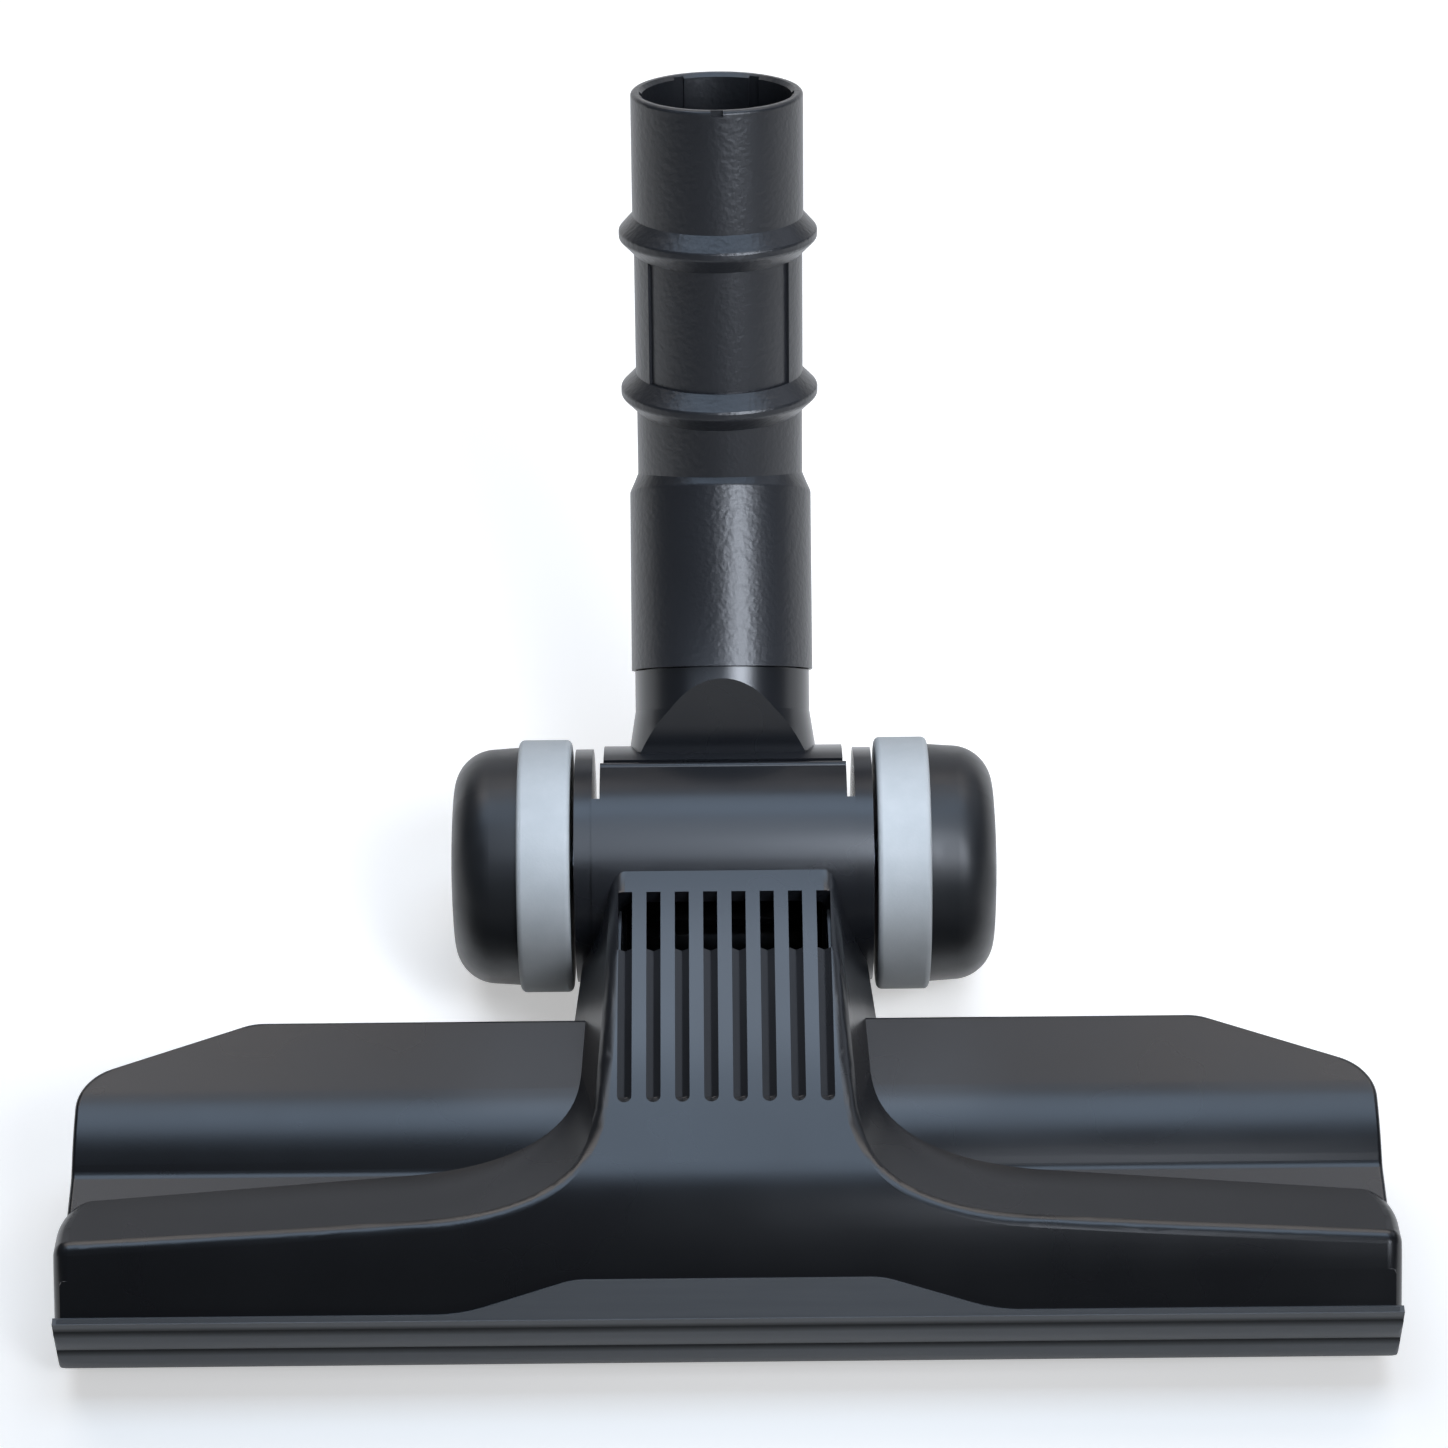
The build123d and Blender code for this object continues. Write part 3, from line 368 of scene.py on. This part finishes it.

# The dark colour mixed in near each groove is painted shade, not a colour of the rubber.
groove_shaded_tint = add_node(
    tree,
    "ShaderNodeMix",
    {"Factor": clear.outputs["Result"], "B": tint.outputs["Result"]},
    {"A": linear("#191B1D")},
    data_type="RGBA",
)
grain = add_node(tree, "ShaderNodeTexNoise", {"Vector": mm}, {"Scale": 1 / BUMPER_GRAIN, "Detail": 3.0})
bump = add_node(
    tree,
    "ShaderNodeBump",
    {"Height": grain.outputs["Fac"]},
    {"Strength": 0.12, "Distance": 0.00012},
)
shader = add_node(
    tree,
    "ShaderNodeBsdfPrincipled",
    {"Base Color": groove_shaded_tint.outputs["Result"], "Normal": bump.outputs["Normal"]},
    {"IOR": 1.5, "Roughness": 0.55},
)
add_node(tree, "ShaderNodeOutputMaterial", {"Surface": shader.outputs["BSDF"]})
dress(bumper_tpe, "bumper_strip")

# %% [markdown]
# Pins, clips, washers and screws are zinc-plated steel: bright, with a fine turned grain. A metal has no
# colour of its own beneath the reflection, so its base colour tints the reflection and the grain drives
# its roughness.

# %% Plated steel of the fasteners
TURNING_GRAIN = 0.3      # millimetres

zinc_steel, tree, mm = new_material("zinc_plated_steel")
turning = add_node(tree, "ShaderNodeTexNoise", {"Vector": mm}, {"Scale": 1 / TURNING_GRAIN, "Detail": 2.0})
polish = add_node(
    tree,
    "ShaderNodeMapRange",
    {"Value": turning.outputs["Fac"]},
    {"From Min": NOISE_LOW, "From Max": NOISE_HIGH, "To Min": 0.24, "To Max": 0.36},
)
shader = add_node(
    tree,
    "ShaderNodeBsdfPrincipled",
    {"Roughness": polish.outputs["Result"]},
    {"Base Color": linear("#C3C6CA"), "Metallic": 1.0},
)
add_node(tree, "ShaderNodeOutputMaterial", {"Surface": shader.outputs["BSDF"]})
wheel_fixings = ("axle_pin", "wheel_washer", "wheel_clip")
fasteners = [f"{kind}_{side}" for kind in wheel_fixings for side in ("left", "right")]
dress(zinc_steel, *fasteners, "base_screws", "neck_cover_screws", "swivel_snap_ring")

# %% [markdown]
# The bands on the drum are pressed wool felt. They hide inside the barrel and show little even when the
# neck is tilted. Felt is fibres that lie every way, so a distorted noise gives both its mixed grey and
# its rough skin.

# %% Felt of the drum's bands
FELT_FIBRE = 0.25        # millimetres

wool_felt, tree, mm = new_material("pressed_wool_felt")
fibre = add_node(
    tree,
    "ShaderNodeTexNoise",
    {"Vector": mm},
    {"Scale": 1 / FELT_FIBRE, "Detail": 6.0, "Distortion": 1.5},
)
tint = add_node(
    tree,
    "ShaderNodeMix",
    {"Factor": fibre.outputs["Fac"]},
    {"A": linear("#26272A"), "B": linear("#4A4B4F")},
    data_type="RGBA",
)
bump = add_node(
    tree,
    "ShaderNodeBump",
    {"Height": fibre.outputs["Fac"]},
    {"Strength": 0.6, "Distance": 0.0003},
)
shader = add_node(
    tree,
    "ShaderNodeBsdfPrincipled",
    {"Base Color": tint.outputs["Result"], "Normal": bump.outputs["Normal"]},
    {"Roughness": 0.95, "Sheen Weight": 0.3},
)
add_node(tree, "ShaderNodeOutputMaterial", {"Surface": shader.outputs["BSDF"]})
dress(wool_felt, "drum_seal_left", "drum_seal_right")

# %% [markdown]
# The ring that seals the swivel is moulded nitrile rubber, dull and black, with the fine grain of its
# mould.

# %% Nitrile of the swivel's seal
SEAL_GRAIN = 0.3         # millimetres

nitrile, tree, mm = new_material("nitrile_rubber")
grain = add_node(tree, "ShaderNodeTexNoise", {"Vector": mm}, {"Scale": 1 / SEAL_GRAIN, "Detail": 2.0})
bump = add_node(
    tree,
    "ShaderNodeBump",
    {"Height": grain.outputs["Fac"]},
    {"Strength": 0.1, "Distance": 0.0001},
)
shader = add_node(
    tree,
    "ShaderNodeBsdfPrincipled",
    {"Normal": bump.outputs["Normal"]},
    {"Base Color": linear("#141414"), "Roughness": 0.6, "IOR": 1.52},
)
add_node(tree, "ShaderNodeOutputMaterial", {"Surface": shader.outputs["BSDF"]})
dress(nitrile, "swivel_seal")

# %% [markdown]
# The brushes are strips of black nylon bristle, punched in small tufts into a polypropylene back. In CAD
# each strip is a plain comb. Hair particles could grow on it, but they are no mesh, so each filament is
# built here as a thin rod of three sides that tapers to its tip. Its root end is open, because it is
# hidden in the back.

# %% One filament
FILAMENT_RADIUS = 0.00016
FILAMENT_SIDES = 3
FILAMENT_TAPER = ((0.0, 1.0), (0.55, 0.95), (1.0, 0.55))    # shares of the length and of the radius


def add_filament(bm, root, tip):
    """Adds a thin tapering rod from a root to a tip."""
    turns = [2 * math.pi * side / FILAMENT_SIDES for side in range(FILAMENT_SIDES)]
    rings = []
    for share, width in FILAMENT_TAPER:
        middle = root.lerp(tip, share)
        rings.append([
            bm.verts.new(middle + Vector((math.cos(turn), math.sin(turn), 0)) * FILAMENT_RADIUS * width)
            for turn in turns
        ])
    for upper, lower in zip(rings, rings[1:]):
        for side in range(FILAMENT_SIDES):
            after = (side + 1) % FILAMENT_SIDES
            bm.faces.new((upper[side], lower[side], lower[after], upper[after]))
    bm.faces.new(rings[-1][::-1])


print("quads along a filament", FILAMENT_SIDES * (len(FILAMENT_TAPER) - 1))

# %% [markdown]
# A tuft is a bundle of filaments that leave one punched hole and lean a little apart, as floor bristles
# do. Two rows of tufts, half a pitch apart, fill the box of the comb. They start inside the back and end
# at the floor. The scatter comes from a seeded generator, so the brushes are the same on every run.

# %% One strip of tufts
TUFT_PITCH = 0.0032
TUFT_ROWS = (0.28, 0.72)          # places of the rows, as shares of the strip's depth
FILAMENTS_PER_TUFT = 14
HOLE_RADIUS = 0.0009
SPLAY_ALONG = 0.0019              # radius of the tuft at the floor, along the strip
SPLAY_ACROSS = 0.0011
TIP_STRAY = 0.0003
TIP_SHORTFALL = 0.0004


def make_bristles(name, node, seed):
    """A mesh of tufts that fills the box of a CAD bristle strip."""
    low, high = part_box(node)
    chance = random.Random(seed)
    count = int((high.x - low.x) / TUFT_PITCH)
    bm = bmesh.new()
    for row, row_share in enumerate(TUFT_ROWS):
        y = low.y + (high.y - low.y) * row_share
        for step in range(count):
            x = (low.x + high.x) / 2 + (step - (count - 1) / 2) * TUFT_PITCH
            x += (row - 0.5) * TUFT_PITCH / 2
            for _ in range(FILAMENTS_PER_TUFT):
                angle = chance.uniform(0, 2 * math.pi)
                spread = math.sqrt(chance.random())
                along = math.cos(angle) * spread
                across = math.sin(angle) * spread
                root = Vector((x + along * HOLE_RADIUS, y + across * HOLE_RADIUS, high.z))
                tip = Vector((
                    x + along * SPLAY_ALONG + chance.uniform(-TIP_STRAY, TIP_STRAY),
                    y + across * SPLAY_ACROSS,
                    low.z + chance.uniform(0.0, TIP_SHORTFALL),
                ))
                for end in (root, tip):
                    end.x = min(max(end.x, low.x + FILAMENT_RADIUS), high.x - FILAMENT_RADIUS)
                add_filament(bm, root, tip)
    bmesh.ops.recalc_face_normals(bm, faces=bm.faces)
    mesh = bpy.data.meshes.new(name)
    bm.to_mesh(mesh)
    bm.free()
    mesh.shade_smooth()
    strip = bpy.data.objects.new(name, mesh)
    scene.collection.objects.link(strip)
    triangles = sum(len(face.vertices) - 2 for face in mesh.polygons)
    print(name, "filaments", count * len(TUFT_ROWS) * FILAMENTS_PER_TUFT, "triangles", triangles)
    return strip


# %% [markdown]
# Nylon filament is drawn through a die, so it is smooth and shines along its length. Neighbouring
# filaments differ a little in grey, which a noise of about a millimetre gives.

# %% Nylon of the bristles
NYLON_SHADE = 1.2        # millimetres
STRIP_SEEDS = {"front": 3, "rear": 4}

nylon, tree, mm = new_material("nylon_bristle_black")
shade = add_node(tree, "ShaderNodeTexNoise", {"Vector": mm}, {"Scale": 1 / NYLON_SHADE, "Detail": 2.0})
tint = add_node(
    tree,
    "ShaderNodeMix",
    {"Factor": shade.outputs["Fac"]},
    {"A": linear("#141416"), "B": linear("#2A2A2D")},
    data_type="RGBA",
)
shader = add_node(
    tree,
    "ShaderNodeBsdfPrincipled",
    {"Base Color": tint.outputs["Result"]},
    {"Roughness": 0.38, "IOR": 1.53},
)
add_node(tree, "ShaderNodeOutputMaterial", {"Surface": shader.outputs["BSDF"]})
for place, seed in STRIP_SEEDS.items():
    strip = make_bristles(f"{place}_bristle_tufts", f"{place}_bristles", seed)
    strip.data.materials.append(nylon)
    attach(strip, "head")
    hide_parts(f"{place}_bristles")

# %% [markdown]
# The backs of the brushes are plain moulded polypropylene with a dull, slightly grainy skin. One noise
# gives both the grain and the small change of grey that goes with it.

# %% Polypropylene of the brush backs
BACK_GRAIN = 0.6         # millimetres

brush_back, tree, mm = new_material("polypropylene_brush_back")
grain = add_node(tree, "ShaderNodeTexNoise", {"Vector": mm}, {"Scale": 1 / BACK_GRAIN, "Detail": 4.0})
tint = add_node(
    tree,
    "ShaderNodeMix",
    {"Factor": grain.outputs["Fac"]},
    {"A": linear("#1C1C1E"), "B": linear("#242426")},
    data_type="RGBA",
)
bump = add_node(
    tree,
    "ShaderNodeBump",
    {"Height": grain.outputs["Fac"]},
    {"Strength": 0.2, "Distance": 0.00015},
)
shader = add_node(
    tree,
    "ShaderNodeBsdfPrincipled",
    {"Base Color": tint.outputs["Result"], "Normal": bump.outputs["Normal"]},
    {"Roughness": 0.6, "IOR": 1.49},
)
add_node(tree, "ShaderNodeOutputMaterial", {"Surface": shader.outputs["BSDF"]})
dress(brush_back, "front_brush_holder", "rear_brush_holder")

# %% [markdown]
# Black plastic shows the room more than its own colour, so the lamps decide how it looks. One big lamp
# would give every face the same grey. Here each lamp stands where a group of faces reflects it to the
# camera. The cool one overhead is seen in the hood, neck and barrel, the two warmer ones behind in the
# flat wings, and the low one behind in the rear flank of the ridge. One at the right and one beside the
# camera pick out the round tube and the bumper. The room in front stays dim, so that the front face goes
# almost black.


# %% Lamps of the room
def add_lamp(name, place, target, size, power, colour, spread=180.0):
    """A rectangular lamp aimed at a point. A spread under 180 degrees is a lamp with a grid in front."""
    data = bpy.data.lights.new(name, "AREA")
    data.shape = "RECTANGLE"
    data.size, data.size_y = size
    data.energy = power
    data.spread = math.radians(spread)
    data.color = linear(colour)[:3]
    lamp = bpy.data.objects.new(name, data)
    lamp.location = place
    lamp.rotation_euler = (Vector(place) - Vector(target)).to_track_quat("Z", "Y").to_euler()
    scene.collection.objects.link(lamp)
    print("lamp", name, power, "W")


add_lamp("overhead", (0.0, 0.41, 1.44), (0, -0.07, 0.03), (1.7, 0.56), 10.8, "#C9E2FF")
add_lamp("behind_left", (-0.64, 1.26, 1.4), (0, -0.05, 0.03), (0.96, 0.7), 6.2, "#FFF6F0")
add_lamp("behind_right", (0.64, 1.26, 1.4), (0, -0.05, 0.03), (0.96, 0.7), 6.0, "#FFF6F0")
add_lamp("low_behind", (0.0, 1.5, 0.42), (0, -0.1, 0.03), (2.4, 0.5), 2.8, "#F2F6FF")
add_lamp("right_behind", (1.03, 0.63, 0.69), (0, -0.05, 0.04), (0.5, 0.4), 0.7, "#E4EEFF")
add_lamp("beside_camera", (0.62, -0.71, 0.93), (0, 0.03, 0.06), (0.4, 0.5), 4.0, "#EAF2FF")

# %% [markdown]
# The barrel, the wheel caps and the sleeve are lighter than the hood's front, although they face the
# same way. A distant lamp would light all of them. A small one close by, with a grid that narrows its
# beam, lights only what it is aimed at. Two such lamps do this: one above the barrel, and one that draws
# the strip on the sleeve.

# %% Lamps close to the object
add_lamp("over_barrel", (0.0, -0.0275, 0.095), (0, -0.012, 0.04), (0.115, 0.043), 0.017, "#DCEBFF", 120.0)
add_lamp("beside_tube", (0.106, -0.118, 0.288), (0, 0.05, 0.08), (0.12, 0.16), 0.115, "#EAF2FF", 70.0)

# %% [markdown]
# The rest of the room is an even dim grey, which keeps the shaded sides from going fully black.

# %% Room
world = bpy.data.worlds.new("studio")
world.use_nodes = True
scene.world = world
tree = world.node_tree
tree.nodes.clear()
room = add_node(tree, "ShaderNodeBackground", None, {"Color": linear("#8C8F94"), "Strength": 0.26})
add_node(tree, "ShaderNodeOutputWorld", {"Surface": room.outputs["Background"]})
print("room", [round(v, 3) for v in room.inputs["Color"].default_value])

# %% [markdown]
# The floor is a sheet of pale studio paper. More light would turn it white, but it would also bleach the
# object. Instead the paper glows a little, only for the camera and for mirror-like and see-through rays,
# and it keeps the object's shadow. It lies a hair below the bristles' tips, so that the two surfaces
# don't share one plane.

# %% Floor
FLOOR_REACH = 4.0
FLOOR_DROP = 0.0002
PAPER_GLOW = 0.44

pale_paper, tree, _ = new_material("pale_studio_paper")
rays = add_node(tree, "ShaderNodeLightPath")
direct = add_node(
    tree,
    "ShaderNodeMath",
    {0: rays.outputs["Is Camera Ray"], 1: rays.outputs["Is Glossy Ray"]},
    operation="MAXIMUM",
)
seen = add_node(
    tree,
    "ShaderNodeMath",
    {0: direct.outputs["Value"], 1: rays.outputs["Is Transmission Ray"]},
    operation="MAXIMUM",
)
lift = add_node(tree, "ShaderNodeMath", {0: seen.outputs["Value"]}, {1: PAPER_GLOW}, operation="MULTIPLY")
paper = add_node(tree, "ShaderNodeBsdfDiffuse", None, {"Color": linear("#F0ECE6")})
glow = add_node(tree, "ShaderNodeEmission", {"Strength": lift.outputs["Value"]})
both = add_node(tree, "ShaderNodeAddShader", {0: paper.outputs["BSDF"], 1: glow.outputs["Emission"]})
add_node(tree, "ShaderNodeOutputMaterial", {"Surface": both.outputs["Shader"]})

floor_mesh = bpy.data.meshes.new("floor")
corners = [(x * FLOOR_REACH, y * FLOOR_REACH, 0) for x, y in ((-1, -1), (1, -1), (1, 1), (-1, 1))]
floor_mesh.from_pydata(corners, [], [(0, 1, 2, 3)])
floor_mesh.materials.append(pale_paper)
floor = bpy.data.objects.new("floor", floor_mesh)
floor.location.z = -FLOOR_DROP
scene.collection.objects.link(floor)
print("floor", 2 * FLOOR_REACH, "m wide")
